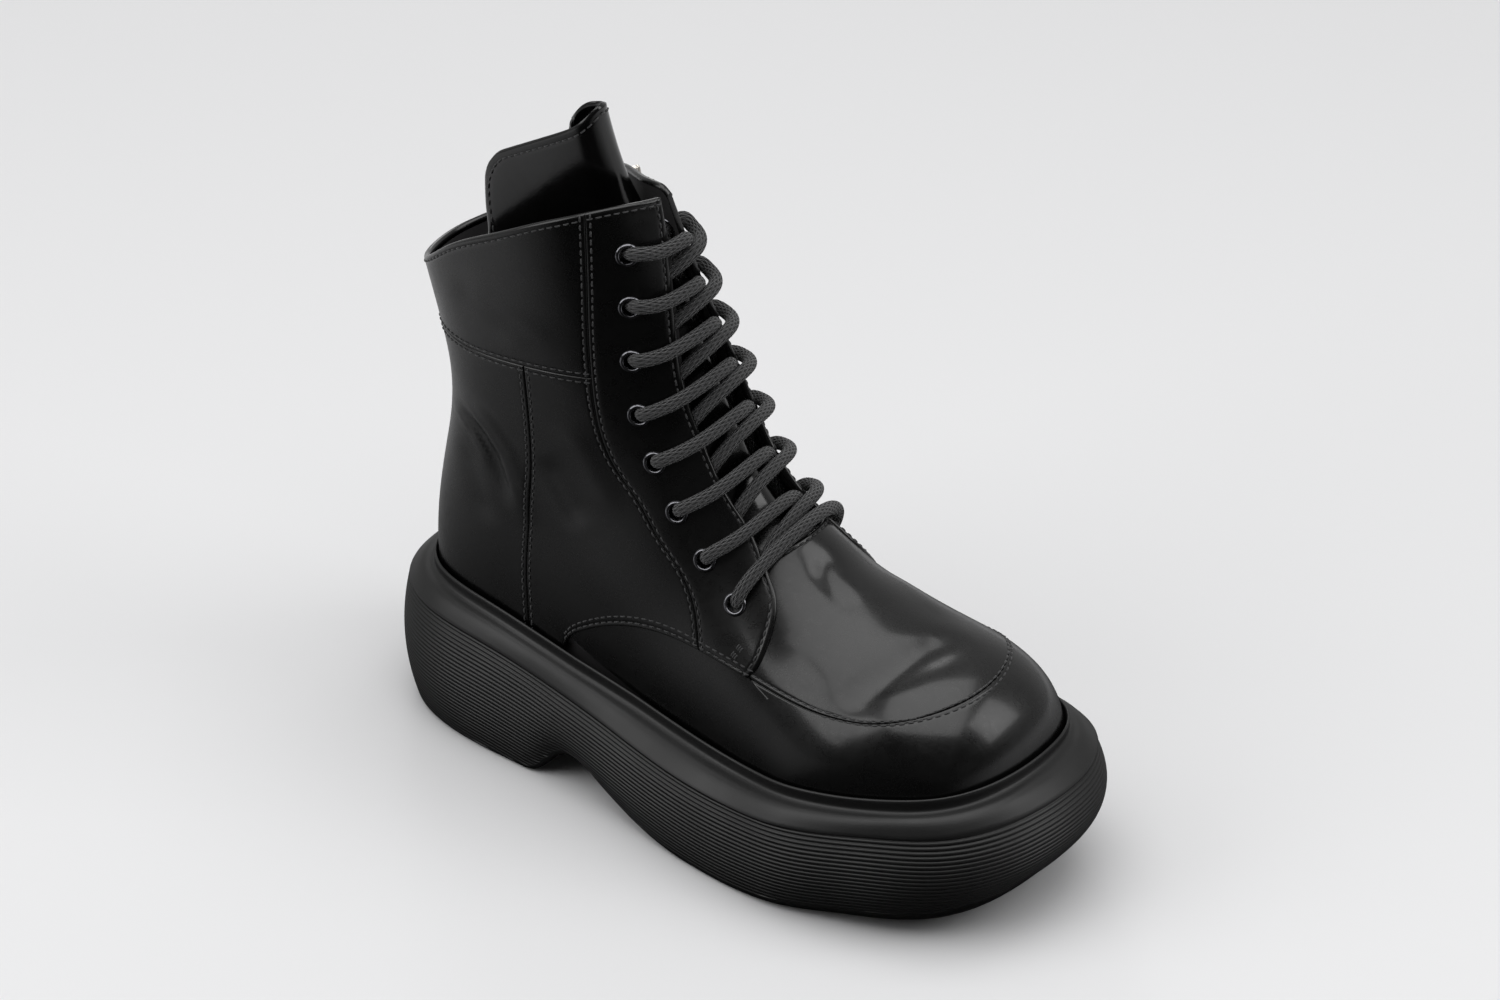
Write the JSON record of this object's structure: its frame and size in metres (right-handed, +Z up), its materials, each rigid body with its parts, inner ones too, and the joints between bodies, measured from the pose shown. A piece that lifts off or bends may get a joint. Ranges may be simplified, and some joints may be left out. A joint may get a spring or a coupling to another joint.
{
  "type": "lace-up platform ankle boot",
  "caption": "Right lace-up ankle boot in polished leather with an inner side zip and a thick moulded platform sole.",
  "frame": {"origin": "under the middle of the boot's box, on the floor it stands on", "axes": "+X towards the toe, +Y towards the inner (medial) side, +Z up"},
  "size_m": [0.296, 0.1176, 0.279],
  "materials": {
    "polished_leather": "polished, glossy black box leather",
    "moulded_rubber": "satin black moulded rubber",
    "insole_leather": "matte black lining leather",
    "braided_cord": "matte braided black cord",
    "gunmetal": "dark gunmetal eyelets",
    "zip_coil": "black moulded coil on woven tape",
    "polished_nickel": "polished nickel"
  },
  "bodies": {
    "boot": {"upper": "polished_leather", "tongue": "polished_leather", "sole": "moulded_rubber", "insole": "insole_leather", "eyelet_lateral_1": "gunmetal", "eyelet_lateral_2": "gunmetal", "eyelet_lateral_3": "gunmetal", "eyelet_lateral_4": "gunmetal", "eyelet_lateral_5": "gunmetal", "eyelet_lateral_6": "gunmetal", "eyelet_lateral_7": "gunmetal", "eyelet_lateral_8": "gunmetal", "eyelet_medial_1": "gunmetal", "eyelet_medial_2": "gunmetal", "eyelet_medial_3": "gunmetal", "eyelet_medial_4": "gunmetal", "eyelet_medial_5": "gunmetal", "eyelet_medial_6": "gunmetal", "eyelet_medial_7": "gunmetal", "eyelet_medial_8": "gunmetal", "lace_cross_1": "braided_cord", "lace_cross_2": "braided_cord", "lace_cross_3": "braided_cord", "lace_cross_4": "braided_cord", "lace_cross_5": "braided_cord", "lace_cross_6": "braided_cord", "lace_cross_7": "braided_cord", "lace_bar": "braided_cord", "zip_coil": "zip_coil", "zip_slider": "polished_nickel"},
    "zip_pull": {"zip_pull": "polished_nickel"}
  },
  "joints": [
    {"name": "zip_pull_hinge", "type": "hinge", "parent": "boot", "child": "zip_pull", "pos_m": [-0.06579, 0.02811, 0.22631], "axis": [0.8705, -0.4885, 0.0595], "range_deg": [0, 165]}
  ]
}
